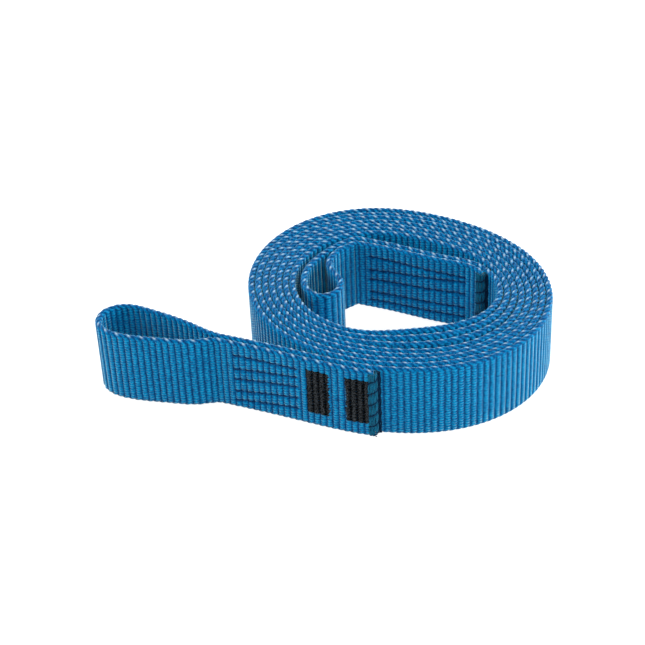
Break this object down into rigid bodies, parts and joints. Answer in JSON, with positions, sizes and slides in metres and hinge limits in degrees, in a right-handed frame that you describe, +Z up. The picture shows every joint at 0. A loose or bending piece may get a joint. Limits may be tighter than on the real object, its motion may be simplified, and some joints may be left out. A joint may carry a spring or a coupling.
{
  "type": "flat web sling",
  "caption": "Narrow flat web sling with a sewn eye at each end, rolled into an oval coil that stands on its edge, one eye leading out.",
  "frame": {"origin": "centre of the whole object's box, on the surface that it stands on", "axes": "+X from the outer eye towards the roll, +Y to the back of the roll, +Z up along the web's width"},
  "size_m": [0.137, 0.0829, 0.025],
  "materials": {
    "webbing": "ribbed polyester webbing",
    "sewing_thread": "polyester thread",
    "black_thread": "polyester thread",
    "overlock_thread": "polyester thread"
  },
  "bodies": {
    "root": {"coil_webbing": "webbing"},
    "outer_end": {"outer_lap_ply": "webbing", "outer_folded_ply": "webbing", "outer_stitch_row_1": "sewing_thread", "outer_stitch_row_2": "sewing_thread", "outer_stitch_row_3": "sewing_thread", "outer_stitch_row_4": "sewing_thread", "outer_stitch_row_5": "sewing_thread", "outer_bar_tack_1": "black_thread", "outer_bar_tack_2": "black_thread", "outer_end_overlock": "overlock_thread"},
    "outer_eye": {"outer_eye_loop": "webbing"},
    "inner_end": {"inner_lap_ply": "webbing", "inner_folded_ply": "webbing", "inner_stitch_row_1": "sewing_thread", "inner_stitch_row_2": "sewing_thread", "inner_stitch_row_3": "sewing_thread", "inner_stitch_row_4": "sewing_thread", "inner_stitch_row_5": "sewing_thread", "inner_end_overlock": "overlock_thread"},
    "inner_eye": {"inner_eye_loop": "webbing"}
  },
  "joints": [
    {"name": "outer_end_peel", "type": "hinge", "parent": "root", "child": "outer_end", "pos_m": [0.02199, -0.03888, 0.0125], "axis": [0, 0, 1], "range_deg": [0, 60]},
    {"name": "outer_eye_bend", "type": "hinge", "parent": "outer_end", "child": "outer_eye", "pos_m": [-0.02917, -0.02521, 0.0125], "axis": [0, 0, 1], "range_deg": [-30, 30]},
    {"name": "inner_end_peel", "type": "hinge", "parent": "root", "child": "inner_end", "pos_m": [0.05208, 0.00296, 0.0125], "axis": [0, 0, 1], "range_deg": [0, 4]},
    {"name": "inner_eye_bend", "type": "hinge", "parent": "inner_end", "child": "inner_eye", "pos_m": [0.00979, 0.02371, 0.0125], "axis": [0, 0, 1], "range_deg": [0, 20]}
  ]
}
